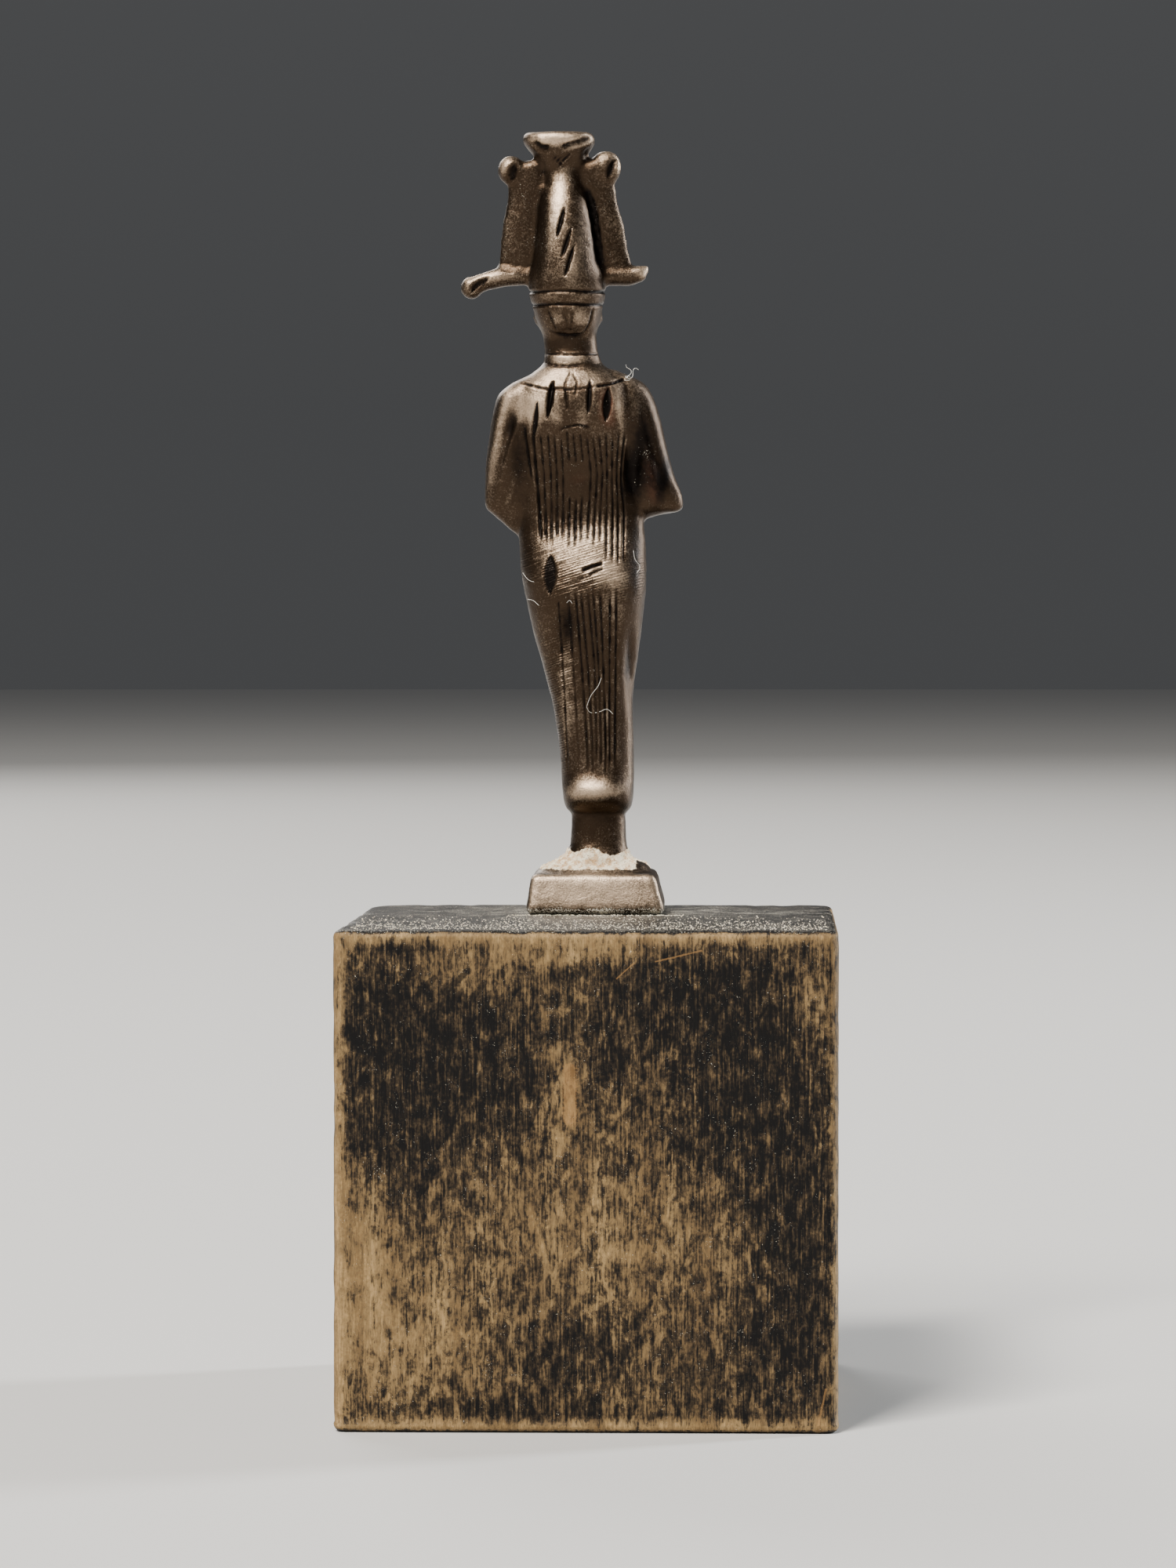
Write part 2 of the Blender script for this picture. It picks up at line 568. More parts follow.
def add_rod(whole, path, radii):
    """A rod with rounded joints and ends, as one cone for each stretch and one ball for each point."""
    points = [Vector(p) for p in path]
    for point, radius in zip(points, radii):
        add_ball(whole, point, (radius, radius, radius), segments=20)
    for a, b, thick, thin in zip(points, points[1:], radii, radii[1:]):
        along = b - a
        turned = along.to_track_quat("Z", "Y").to_matrix().to_4x4()
        form = bmesh.new()
        bmesh.ops.create_cone(
            form, cap_ends=True, segments=24, radius1=thick, radius2=thin, depth=along.length,
            matrix=Matrix.Translation((a + b) / 2) @ turned,
        )
        take_in(whole, form)


def arc(centre, radius, start, end, steps):
    x, y, level = centre
    angles = np.radians(np.linspace(start, end, steps + 1))
    return [(x + radius * math.cos(a), y, level + radius * math.sin(a)) for a in angles]


wax = bmesh.new()
add_column(wax, SHROUD, sides=96, squareness=2.3)
add_column(wax, LEFT_ARM, side=1)
add_column(wax, RIGHT_ARM, side=-1)
add_column(wax, ANKLES, squareness=2.6)
add_column(wax, HEAD_AND_CROWN, sides=96, squareness=2.15)
add_column(wax, LEFT_PLUME, side=1)
add_column(wax, RIGHT_PLUME, side=-1)
add_ball(wax, (106, 1, 901.5), (17.5, 15, 19))
add_ball(wax, (-15, 1, 904), (20, 15, 22.5))
left_horn = [(40, 0, 767), (90, 0, 767), (118, 2, 765), (142, 3, 758), (153, 3, 754)]
add_rod(wax, left_horn, (13, 13, 13, 11.5, 12))
add_ball(wax, (157.5, 3, 751), (14, 13, 14.5))
add_rod(wax, [(-5, 0, 766), (-45, 0, 766), (-57, 1, 768.5), (-65, 1, 774)], (12.5, 12.5, 11, 5.5))

# The base, and the mound of metal that joins it to the ankles
half_base = BASE_WIDTH / 2 / PART
base_back, base_front = HEEL_INSET / PART, (HEEL_INSET - BASE_DEPTH) / PART
batter = BASE_BATTER / PART
# The skin's base reaches down through the solid's gap, so that it stands on the block
CLOSED_GAP, BASE_ROUNDING = 0.00028, 8.5
base_foot = -(BASE_HEIGHT + CLOSED_GAP) / PART
form = bmesh.new()
bmesh.ops.create_cube(form, size=1)
for corner in form.verts:
    inset = batter if corner.co.z > 0 else 0.0
    half_width = half_base - inset - (BASE_SLANT / PART if corner.co.z > 0 > corner.co.x else 0.0)
    corner.co.x = BASE_SHIFT / PART + math.copysign(half_width, corner.co.x)
    corner.co.y = (base_back - inset) if corner.co.y > 0 else (base_front + inset)
    corner.co.z = 0.0 if corner.co.z > 0 else base_foot
round_edges(form, form.edges[:], BASE_ROUNDING, 4)
take_in(wax, form)
top_half, heel_room = half_base - batter, base_back - batter
right_top, left_top = top_half - (BASE_SHIFT + BASE_SLANT) / PART, top_half + BASE_SHIFT / PART
MOUND = [
    (-12, -right_top + 5, left_top - 5, heel_room - 5, 78),
    (2, -right_top + 6, left_top - 6, heel_room - 9, 74),
    (9, -right_top + 10, left_top - 18, heel_room - 18, 67),
    (16, -right_top + 27, left_top - 33, heel_room - 25, 55),
    (25, -right_top + 40, left_top - 44, heel_room - 30, 42),
    (31, -42, 34, 25, 32),
]
add_column(wax, MOUND, side=1, squareness=3.0)
for side in (-1, 1):
    add_ball(wax, (4 + side * 17, -52, 11), (17, 50, 15), turn=(12, 0, side * -2))

# The side that faces away: hands, sceptres, beard, ears and cobra
chest = float(lean(580)[0])
for side, fist_level in ((1, 552), (-1, 574)):
    elbow, wrist = (chest + side * 84, -24, 494), (chest + side * 24, -60, fist_level)
    add_rod(wax, [elbow, (chest + side * 58, -48, 514), wrist], (20, 23, 15))
    add_ball(wax, (chest + side * 14, -64, fist_level), (16, 13, 13))
crook = [(chest + 14, -68, 526), (chest + 24, -59, 590), (chest + 31, -47, 626)]
hook = arc((chest + 41, -46, 629), 10, 180, 0, 8)
add_rod(wax, crook + hook, [6] * (len(crook) + len(hook)))
add_rod(wax, [(chest - 14, -68, 548), (chest - 28, -60, 600), (chest - 42, -49, 634)], (6, 6, 6))
add_rod(wax, [(chest - 42, -49, 634), (chest - 55, -51, 614), (chest - 62, -51, 566)], (7, 9, 11))
face_middle = float(lean(715)[0])
beard = [(face_middle - 1, -39, 698), (face_middle - 3, -45, 676), (face_middle - 5, -50, 634)]
add_rod(wax, beard, (8, 9, 11))
for side in (-1, 1):
    add_ball(wax, (face_middle + side * 38, -3, 713), (7, 6, 11))
cobra = [(-44, 737), (-53, 749), (-59, 763), (-54, 777), (-45, 791), (-38, 812)]
add_rod(wax, [(float(lean(770)[0]), y, level) for y, level in cobra], (4, 6, 7, 5, 4, 3))

wax_mesh = mesh_of("wax", wax)
wax_object = bpy.data.objects.new("wax", wax_mesh)
put_in_scene(wax_object)
skin = wax_object.modifiers.new("one skin", "REMESH")
skin.mode = "VOXEL"
skin.voxel_size = VOXEL
bpy.context.view_layer.update()
one_skin = bpy.data.meshes.new_from_object(
    wax_object.evaluated_get(bpy.context.evaluated_depsgraph_get())
)
bpy.data.objects.remove(wax_object)
bpy.data.meshes.remove(wax_mesh)


def set_points(mesh, points):
    mesh.vertices.foreach_set("co", points.ravel())
    mesh.update()


def edge_ends(mesh):
    """The two vertices of every edge, as two lists."""
    ends = np.empty(len(mesh.edges) * 2, np.int64)
    mesh.edges.foreach_get("vertices", ends)
    return ends.reshape(-1, 2).T


def neighbours_of(mesh):
    """A function that gives each vertex the mean of its neighbours' values."""
    a, b = edge_ends(mesh)
    count = np.bincount(np.r_[a, b], minlength=len(mesh.vertices)).astype(float)

    def mean(values):
        out = np.empty_like(values)
        for k in range(values.shape[1]):
            out[:, k] = np.bincount(
                np.r_[a, b], weights=np.r_[values[b, k], values[a, k]], minlength=len(values)
            )
        return out / np.maximum(count, 1)[:, None]

    return mean


def relax(mesh, rounds, where=None):
    """Smooths the mesh without shrinking it, by a step in and a smaller step out each round."""
    mean = neighbours_of(mesh)
    points = points_of(mesh)
    weight = np.ones(len(points)) if where is None else where
    for _ in range(rounds):
        for step in (0.55, -0.57):
            points += (mean(points) - points) * step * weight[:, None]
    set_points(mesh, points)


relax(one_skin, 6)

# Finer faces where the tool has been: the back's folds and collar, the crown, the head and the face
points, normals = points_of(one_skin), normals_of(one_skin)
x, y, level = points.T
back = normals[:, 1] > -0.1
from_middle = np.abs(x - lean(level))
fine = back & (level > 118) & (level <= 375) & (np.abs(x - 8) < 42)
fine |= back & (level >= 760) & (level < 895) & (x > -14) & (x < 58)
for low, high, half_width in ((408, 672, 70), (345, 408, 64), (685, 760, 50)):
    fine |= back & (level > low) & (level <= high) & (from_middle < half_width)
face = (normals[:, 1] < 0.2) & (y < -18) & (level > 688) & (level < 736) & (np.abs(x - face_middle) < 36)
form = bmesh.new()
form.from_mesh(one_skin)
form.verts.ensure_lookup_table()
fists = (y < -52) & (level > 528) & (level < 594) & (np.abs(x - chest) < 36)
chosen = fine | face | fists
edges = [e for e in form.edges if chosen[e.verts[0].index] and chosen[e.verts[1].index]]
bmesh.ops.subdivide_edges(form, edges=edges, cuts=1, use_grid_fill=True)
edges = [
    e for e in form.edges
    if all(v.co.y < -20 and 690 < v.co.z < 734 and abs(v.co.x - face_middle) < 30 for v in e.verts)
]
bmesh.ops.subdivide_edges(form, edges=edges, cuts=1, use_grid_fill=True)
form.to_mesh(one_skin)
form.free()
relax(one_skin, 2)

points, normals = points_of(one_skin), normals_of(one_skin)
x, y, level = points.T
# The cuts of the back are placed as the photograph shows them, so a point is taken where the eye,
# VIEWER parts behind the figure, sees it on the figure's middle plane
VIEWER, EYE_X, EYE_LEVEL = 6235.0, 8.0, 120.0
nearer = np.where(y > 0, VIEWER / (VIEWER - y), 1.0)
x = EYE_X + (x - EYE_X) * nearer
level = EYE_LEVEL + (level - EYE_LEVEL) * nearer
facing_back = np.clip((normals[:, 1] - 0.05) / 0.35, 0, 1)
facing_front = np.clip((-normals[:, 1] - 0.05) / 0.35, 0, 1)
sunk = np.zeros(len(points))  # how deep each point is cut, in parts
hollow = np.zeros(len(points))  # how deep it is pressed in, over wide soft places


def along_path(path):
    """Each point's distance from a line through (x, level) points, and how far along it lies, 0 to 1."""
    path = np.array(path, float)
    stretch = np.diff(path, axis=0)
    lengths = np.hypot(*stretch.T)
    begun = np.r_[0, np.cumsum(lengths)]
    best = np.full(len(x), 1e9)
    place = np.zeros(len(x))
    for start, step, length, before in zip(path, stretch, lengths, begun):
        t = np.clip(((x - start[0]) * step[0] + (level - start[1]) * step[1]) / length**2, 0, 1)
        away = np.hypot(x - start[0] - t * step[0], level - start[1] - t * step[1])
        nearer = away < best
        best = np.where(nearer, away, best)
        place = np.where(nearer, (before + t * length) / begun[-1], place)
    return best, place


def ease(value):
    value = np.clip(value, 0, 1)
    return value * value * (3 - 2 * value)


def cut_line(path, width, depth, taper=0.12, burr=0.12, facing=facing_back):
    """A graver's line: a rounded V that runs out at its ends, with a slight burr along both sides."""
    away, place = along_path(path)
    ends = ease(np.minimum(place, 1 - place) / taper) if taper else 1.0
    wave = 0.85 + 0.15 * np.sin(place * 37 + path[0][0])
    groove = ease(1 - away / (width / 2)) * depth
    lip = np.exp(-(((away - width * 0.62) / (width * 0.2)) ** 2)) * depth * burr
    sunk[:] += (groove - lip) * ends * wave * facing


def in_oval(centre, radii, tilt):
    """How far each point lies along and across a leaning oval, 1 at its edge."""
    angle = math.radians(tilt)
    right, up = x - centre[0], level - centre[1]
    along = (-right * math.sin(angle) + up * math.cos(angle)) / radii[1]
    across = (right * math.cos(angle) + up * math.sin(angle)) / radii[0]
    return along, across


def press_leaf(centre, length, width, depth, tilt, flat=1.0):
    """A leaf-shaped cut, its top leaning to the viewer's right by tilt degrees."""
    along, across = in_oval(centre, (width / 2, length / 2), tilt)
    inside = 1 - along**2
    leaf = ease(flat * (inside - np.abs(across)) / np.maximum(inside, 0.2)) * (inside > 0)
    sunk[:] += leaf * depth * facing_back


def dent(centre, radii, depth, tilt=0.0):
    """A soft hollow in the back, or a swelling where the depth is under 0."""
    along, across = in_oval(centre, radii, tilt)
    hollow[:] += np.exp(-(along**2 + across**2)) * depth * facing_back


def fold_path(levels, places, top, foot):
    """A fold's course from its top to its foot, through the places where it passes the levels."""
    heights = np.linspace(top, foot, 12)
    return list(zip(np.interp(heights, levels[::-1], places[::-1]), heights))


# Folds of the upper back, by where each one passes four levels
UPPER_LEVELS = (568, 514, 465, 420)
UPPER_FOLDS = [
    (89, 81, 77, 75), (79, 74, 70, 68), (69, 64, 62, 61), (59, 55, 54, 54), (51, 47, 47, 46),
    (42, 39, 39, 39), (34, 30, 31, 31), (26, 21, 23, 23), (17, 12, 16, 15), (9, 3, 6, 7),
    (1, -5, -2, -1), (-7, -12, -9, -9), (-16, -18, -17, -17), (-25, -24, -25, -25),
    (-33, -30, -32, -32), (-41, -36, -40, -39),
]
for k, places in enumerate(UPPER_FOLDS):
    top = 574 - 6 * math.sin(math.pi * (k - 1) / 14) + 2.5 * math.sin(k * 2.3)
    foot = 420 - (26 if k > 11 else 0) + 4 * math.sin(k * 1.7)
    path = fold_path(UPPER_LEVELS, places, top, foot)
    width, depth = (5.6, 2.8) if k == 1 else (4.1, 2.2)
    if k == 0:
        path = path[:6]
    if k in (6, 7, 8):
        cuts = [[p for p in path if p[1] > 518], [p for p in path if p[1] < 494]]
    else:
        cuts = [path]
    for cut in cuts:
        cut_line(cut, width, depth)

# Folds of the skirt, in the same way
LOWER_LEVELS = (364, 265, 162, 122)
LOWER_FOLDS = [
    (46, 40, 35, 33), (33, 26, 20, 18), (23, 15, 8, 6), (16, 7, 1, 0), (7, -2, -4, -4),
    (0, -7, -10, -10), (-9, -13, -16, -16), (-22, -21, -21, -21), (-30, -29, -28, -28),
]
for k, places in enumerate(LOWER_FOLDS):
    top, foot = 372 - 3 * math.sin(k * 2.1), 126 + 5 * math.sin(k * 1.9)
    width, depth = (4.2, 1.3) if k < 2 else (4.6, 2.4)
    cut_line(fold_path(LOWER_LEVELS, places, top, foot), width, depth)

# The collar's edge, its ties and pendants, and the arched line over the folds
cut_line([(96, 631), (78, 626), (60, 622), (46, 623), (23, 621)], 4.6, 2.2, taper=0.1)
cut_line([(23, 621), (2, 625), (-3, 626)], 4.2, 1.4, taper=0.2)
cut_line([(-3, 626), (-22, 629), (-41, 635)], 5.6, 3.0, taper=0.1)
cut_line([(46, 568), (36, 573), (20, 576), (2, 573)], 5, 1.8)
press_leaf((56, 609), 54, 13, 4.6, 9)
press_leaf((5, 612), 48, 9, 3.4, 3)
press_leaf((-18, 603), 46, 17, 3.8, 4, flat=1.4)
cut_line([(28, 646), (36, 630), (35, 604)], 3.8, 1.5)
cut_line([(28, 646), (20, 631), (24, 610)], 3.8, 1.2)
press_leaf((75, 584), 48, 11, 3.2, 6)
cut_line([(34, 622), (33, 596)], 5, 2)
cut_line([(52, 612), (51, 590)], 3, 1)

# Wide soft places: beside the arms, at the waist, behind the legs and where the cloth ends
dent((108, 578), (9, 26), 7, tilt=14)
dent((97, 528), (7, 48), 4, tilt=6)
dent((110, 535), (4, 42), -3.5, tilt=16)
dent((-52, 528), (11, 46), 8, tilt=12)
dent((-72, 560), (5, 44), 3.5, tilt=-14)
dent((-74, 506), (10, 32), -4, tilt=-8)
dent((-48, 270), (7, 40), 5)
dent((34, 318), (12, 40), 2.5)
dent((-10, 104), (34, 10), -2.5)
press_leaf((56, 384), 52, 22, 1.9, 2, flat=2.0)
cut_line([(15, 389), (1, 395), (-14, 399)], 7, 3.4, burr=0.3)
cut_line([(6, 383), (-13, 392)], 6, 1.8, burr=0.3)

# Head and crown: the cap's facets, two turned lines round the brim, three slits and the plumes' edges
upright_skin = np.clip(1 - np.abs(normals[:, 2]) * 1.2, 0, 1)
for ring_level in (746.5, 729.5):
    near = np.abs(level - ring_level - 1.5 * np.cos((x - 34) / 25))
    sunk += ease(1 - near / 3.2) * 2.8 * upright_skin * (np.abs(x - 35) < 60)
for path in (
    [(40, 724), (34, 708), (33, 693)], [(26, 724), (28, 708), (30, 693)],
    [(61, 728), (52, 705), (46, 693)], [(0, 728), (6, 705), (13, 693)],
):
    cut_line(path, 5, 1.7, taper=0.2, burr=0.05)
cut_line([(60, 699), (50, 693), (33, 691), (16, 692), (4, 699)], 5, 1.5, taper=0.3)
cut_line([(62, 653), (33, 651), (8, 654)], 5, 1.4, taper=0.2)
cut_line([(62, 667), (33, 666), (-6, 667)], 4, 1.6, taper=0.05)
press_leaf((42.5, 836), 42, 9, 3.2, 15)
press_leaf((34.5, 810), 43, 9, 3.2, 18)
press_leaf((30.5, 787), 46, 9, 3.2, 17)
dent((66, 878), (4.5, 4.5), -3)
cut_line([(12, 884), (5, 866), (0, 845), (-5, 810), (-9, 775)], 15, 3.4, taper=0.2, burr=0)
cut_line([(121, 785), (93, 780)], 4, 1.6)
cut_line([(121, 775), (90, 769)], 4, 1.6)
for k in range(7):
    cut_line([(-14 - k, 778 + 9 * k), (-38 + k * 1.5, 786 + 9 * k)], 4, 1.1)
press_leaf((104, 899), 27, 16, 6, 20, flat=1.5)
press_leaf((-22, 904), 29, 14, 6, 22, flat=1.5)
dent((8, 920), (7, 9), 4)
press_leaf((148, 755), 31, 14, 5.5, 47, flat=1.5)
cut_line([(77, 939), (67, 931), (56, 930)], 11, 3.4, burr=0.3)
cut_line([(42, 931), (28, 936), (4, 943)], 12, 3.8, burr=0.3)
cut_line([(53, 922), (38, 905)], 5, 1.8, burr=0.4)
cut_line([(30, 926), (46, 906)], 5, 1.8, burr=0.4)
cut_line([(45, 946), (43, 934)], 3, 1.2)

# The face: plain and calm, on the usual proportions
right = x - face_middle


def swell(at_x, at_level, wide, tall, height):
    """A small rise on the face, the same on both sides where at_x isn't 0."""
    for side in ((-1, 1) if at_x else (1,)):
        rise = np.exp(-(((right - side * at_x) / wide) ** 2) - ((level - at_level) / tall) ** 2)
        hollow[:] -= rise * height * facing_front * (y < -15)


swell(0, 719, 3.2, 7, 4.5)
swell(0, 713, 4.0, 3.4, 5.5)
swell(4.5, 711.5, 2.4, 2.2, 2.6)
swell(12, 721.5, 8, 4.5, -3.4)
swell(12, 721, 6, 2.4, 2.8)
swell(11, 727.5, 8, 1.8, 1.8)
swell(17, 711, 7, 7, 1.6)
swell(0, 706.8, 7, 1.3, 2.4)
swell(0, 703.2, 5.5, 1.4, 2.6)
swell(0, 705, 8, 0.9, -1.6)
swell(0, 697.5, 7, 3.2, 3.2)
UPPER_LID = [(4, -0.6), (8, 2.2), (13, 2.6), (19, 0.2), (25, -0.4)]
LOWER_LID = [(5, -1.2), (10, -2.6), (15, -2.4), (19, -0.6)]
for side in (-1, 1):
    upper, lower = ([(face_middle + side * a, 721 + b) for a, b in lid] for lid in (UPPER_LID, LOWER_LID))
    cut_line(upper, 2.6, 1.4, burr=0.4, facing=facing_front)
    cut_line(lower, 2.2, 1.0, facing=facing_front)
    fist = chest + side * 14
    for k in range(3):
        gap = (552 if side > 0 else 574) - 5 + k * 5
        cut_line([(fist - 13, gap), (fist + 11, gap)], 3.4, 2.2, facing=facing_front)

# Broad collar on the chest
ring_centre = (float(lean(660)[0]), 672)
spread = np.hypot((x - ring_centre[0]) * 0.8, level - ring_centre[1])
on_chest = facing_front * (level < 655) * (level > 560)
for radius in (40, 55, 70):
    sunk += ease(1 - np.abs(spread - radius) / 4.4) * 2.2 * on_chest
bearing = np.arctan2(x - ring_centre[0], ring_centre[1] - level)
beads = ease(1 - np.abs(np.sin(bearing * 17)) / 0.45) * (spread > 57) * (spread < 68)
sunk += beads * 1.3 * on_chest

points -= normals * (sunk + hollow)[:, None]
set_points(one_skin, points)

# The cast skin is never quite smooth
points, normals = points_of(one_skin), normals_of(one_skin)
uneven = np.array([noise.noise(Vector(p) * 0.035) + 0.6 * noise.noise(Vector(p) * 0.11) for p in points])
points += normals * uneven[:, None] * 0.55
# Pale earth is caked on the mound, up to the ankles, and some metal stands up at its right end
earth_top = 31 + 5 * np.sin(points[:, 0] * 0.11 + 1.0) + 9 * np.exp(-(((points[:, 0] - 34) / 7) ** 2))
earth = ease((earth_top - points[:, 2]) / 7) * ease((points[:, 2] - 2.0) / 5) * (normals[:, 2] > -0.3)
earth *= 1 - 0.9 * ease((-points[:, 0] - 50) / 8) * (points[:, 1] > 0)
earth *= 0.42 + 0.58 * ease((points[:, 1] + 60) / 45)
caked = earth > 0.02
crumbs = np.array([noise.noise(Vector(p) * 0.13) + noise.noise(Vector(p) * 0.31) for p in points[caked]])
points[caked] += normals[caked] * ((0.7 + 2.3 * crumbs) * earth[caked])[:, None]
set_points(one_skin, points * PART + np.array(FOOT))
figure = make_piece("bronze_figure", one_skin)
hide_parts("osiris_figure")
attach(figure, "root")

# What the patina does at each point: dark in the cuts and hollows, rubbed on what stands out
points, normals = points_of(one_skin), normals_of(one_skin)
mean = neighbours_of(one_skin)
bulge = (points - mean(points)) / PART
bulge = np.sum(bulge * normals, axis=1)[:, None]
a, b = edge_ends(one_skin)
long = np.linalg.norm(points[a] - points[b], axis=1) / PART
reach = np.bincount(np.r_[a, b], weights=np.r_[long, long]) / np.bincount(np.r_[a, b])
bulge /= reach[:, None] ** 2
fine_bulge = mean(mean(bulge))[:, 0]
for _ in range(14):
    bulge = mean(bulge)
wide_bulge = bulge[:, 0]


def spot(centre, radii, tilt=0.0):
    """How near each point is to the middle of a leaning oval on the back, 1 to 0."""
    along, across = in_oval(centre, radii, tilt)
    return np.exp(-(along**2 + across**2)) * facing_back


cavity = np.clip(sunk / 4.4, 0, 0.56)
cavity += np.clip(-fine_bulge * 5.0, 0, 0.8) + np.clip(-wide_bulge * 9.0, 0, 0.5)
worn = np.clip(fine_bulge * 3.0, 0, 0.5) + np.clip(wide_bulge * 10.0, 0, 0.5)
RUBBED = [
    ((86, 598), (26, 24), 20, 1.3), ((58, 640), (30, 9), 0, 0.6), ((0, 640), (34, 9), 0, 0.4),
    ((36, 660), (26, 6), 0, 0.8), ((20, 428), (50, 12), 0, 0.35), ((4, 404), (44, 16), 6, 0.5),
    ((-22, 384), (26, 18), 8, 0.45), ((4, 103), (38, 15), 0, 1.0), ((46, 860), (9, 62), 12, 0.7),
    ((22, 790), (9, 40), 14, 0.35), ((38, 240), (13, 120), 5, 0.45), ((-6, 440), (46, 22), 0, 0.35),
    ((6, -22), (90, 22), 0, 1.3), ((48, 711), (10, 12), 0, 0.5), ((18, 712), (13, 13), 0, 0.6),
    ((132, 520), (6, 60), 8, 0.4), ((104, 500), (5, 44), 14, 0.4), ((-58, 590), (14, 50), -14, 0.4),
    ((-30, 350), (20, 40), 0, 0.25), ((46, 940), (34, 7), 0, 0.9), ((118, 906), (5, 14), 0, 0.6),
    ((-34, 900), (6, 18), -10, 0.5), ((60, 739), (20, 5), 0, 0.4), ((10, 739), (24, 5), 0, 0.3),
    ((118, 584), (6, 60), 12, 0.4), ((-40, 560), (7, 40), -10, 0.35), ((40, 936), (40, 10), 0, 0.5),
    ((-32, 604), (5, 24), -6, 0.6), ((46, 585), (8, 10), 0, 0.6), ((14, 584), (10, 12), 0, 0.5),
    ((-66, 764), (8, 12), -20, 0.5), ((150, 766), (20, 5), 0, 0.6), ((110, 764), (20, 7), 0, 0.35),
]
for centre, radii, tilt, strength in RUBBED:
    worn += spot(centre, radii, tilt) * strength
SHADED = [
    ((20, 510), (60, 60), 0, 0.22), ((10, 300), (46, 62), 0, 0.20), ((-47, 268), (9, 42), 0, 0.5),
    ((34, 318), (11, 28), 0, 0.45), ((102, 540), (10, 46), 10, 0.25), ((-54, 520), (12, 50), 10, 0.35),
    ((6, 66), (36, 16), 0, 0.3), ((-30, 180), (12, 60), 0, 0.2), ((107, 574), (9, 24), 14, 0.5),
    ((92, 520), (9, 50), 4, 0.3), ((-92, 510), (7, 46), 14, 0.4), ((-56, 400), (6, 60), 0, 0.4),
    ((56, 384), (9, 22), 2, 0.35), ((-2, 820), (9, 54), -4, 0.45), ((68, 850), (9, 50), 0, 0.2),
    ((36, 680), (30, 12), 0, 0.3), ((40, 915), (30, 12), 0, 0.2),
    ((-70, 560), (20, 70), -14, 0.55), ((-66, 500), (30, 24), 0, 0.35), ((30, 450), (60, 16), 0, 0.25),
    ((-48, 400), (12, 60), 0, 0.35), ((86, 384), (12, 60), 0, 0.3), ((-14, 720), (10, 34), 0, 0.35),
]
for centre, radii, tilt, strength in SHADED:
    cavity += spot(centre, radii, tilt) * strength
# The sides and what faces down were never rubbed
sheltered = np.clip(np.abs(normals[:, 0]) - 0.5, 0, 0.4) * 1.0 + np.clip(-normals[:, 2], 0, 0.5) * 1.2
worn -= sheltered
filed = spot((14, 392), (66, 36), 6) * 1.2 + spot((44, 230), (22, 110), 4) * 0.9
red = spot((-18, 600), (12, 26), -6) + spot((-74, 508), (12, 36), -8) * 0.7
red += spot((20, 506), (17, 11)) * 0.3
high = points[:, 2] / PART - FOOT[2] / PART
dusty = ease((-high - 40) / 6) * 0.52 + 0.10 * np.clip(normals[:, 2] - 0.5, 0, 1)
for name, values in (
    ("cavity", cavity), ("worn", worn), ("filed", filed), ("reddish", red),
    ("earth", earth), ("dusty", dusty),
):
    set_attribute(one_skin, name, values)

DEEP, PATINA, RUB = (0.008, 0.006, 0.005, 1), (0.044, 0.028, 0.017, 1), (0.60, 0.455, 0.325, 1)
RED_PATINA, EARTH, EARTH_SHADE = (0.105, 0.048, 0.029, 1), (0.92, 0.82, 0.62, 1), (0.58, 0.37, 0.19, 1)
bronze, tree, shader, where = new_material("bronze with brown patina")
clouds = noise_at(tree, where, 420.0, 4.0, 0.6)
grains = noise_at(tree, where, 8200.0, 3.0, 0.7)
pits = noise_at(tree, where, 2600.0, 3.0, 0.6)
# File marks: fine bands that rise to the viewer's right, broken up along their length
FILE_PITCH, FILE_RISE = 0.00017, math.radians(17)
across_marks = add_node(tree, "ShaderNodeVectorMath", {
    0: where, 1: (math.sin(FILE_RISE), 0, math.cos(FILE_RISE)),
}, operation="DOT_PRODUCT").outputs["Value"]
along_marks = add_node(tree, "ShaderNodeVectorMath", {
    0: where, 1: (-math.cos(FILE_RISE), 0, math.sin(FILE_RISE)),
}, operation="DOT_PRODUCT").outputs["Value"]
mark_place = add_node(tree, "ShaderNodeCombineXYZ", {
    "X": across_marks, "Y": times(tree, along_marks, 0.12),
}).outputs[0]
waver = noise_at(tree, mark_place, 2400.0, 2.0)
phase = sum_of(tree, (across_marks, 2 * math.pi / FILE_PITCH), (waver, 9.0))
bands = add_node(tree, "ShaderNodeMath", {0: phase}, operation="SINE").outputs[0]
broken_up = step_between(tree, noise_at(tree, mark_place, 5200.0, 3.0), 0.36, 0.62)
strokes = times(tree, sum_of(tree, (bands, 0.5), 0.5), broken_up)
cavity_here, worn_here = attribute(tree, "cavity"), attribute(tree, "worn")
filed_here = attribute(tree, "filed")
marks_here = times(tree, filed_here, strokes)
rubbed = sum_of(
    tree, (worn_here, 0.9), (clouds, 0.45), (grains, 1.15), (pits, 0.35), (cavity_here, -0.6),
    (marks_here, 0.34), (filed_here, -0.08), -1.05,
)
colour = blend(tree, step_between(tree, attribute(tree, "reddish"), 0.1, 0.9), PATINA, RED_PATINA)
colour = blend(tree, step_between(tree, rubbed, -0.15, 1.05), colour, RUB)
dark = sum_of(tree, cavity_here, (pits, 0.45), (clouds, 0.35), -0.40)
colour = blend(tree, step_between(tree, dark, 0.12, 0.80), colour, DEEP)
speckle = times(tree, step_between(tree, grains, 0.735, 0.78), 0.6)
colour = blend(tree, speckle, colour, DUST)
earth_here = sum_of(tree, attribute(tree, "earth"), (pits, 1.0), (grains, 0.7), -0.85)
earth_mask = step_between(tree, earth_here, 0.40, 0.62)
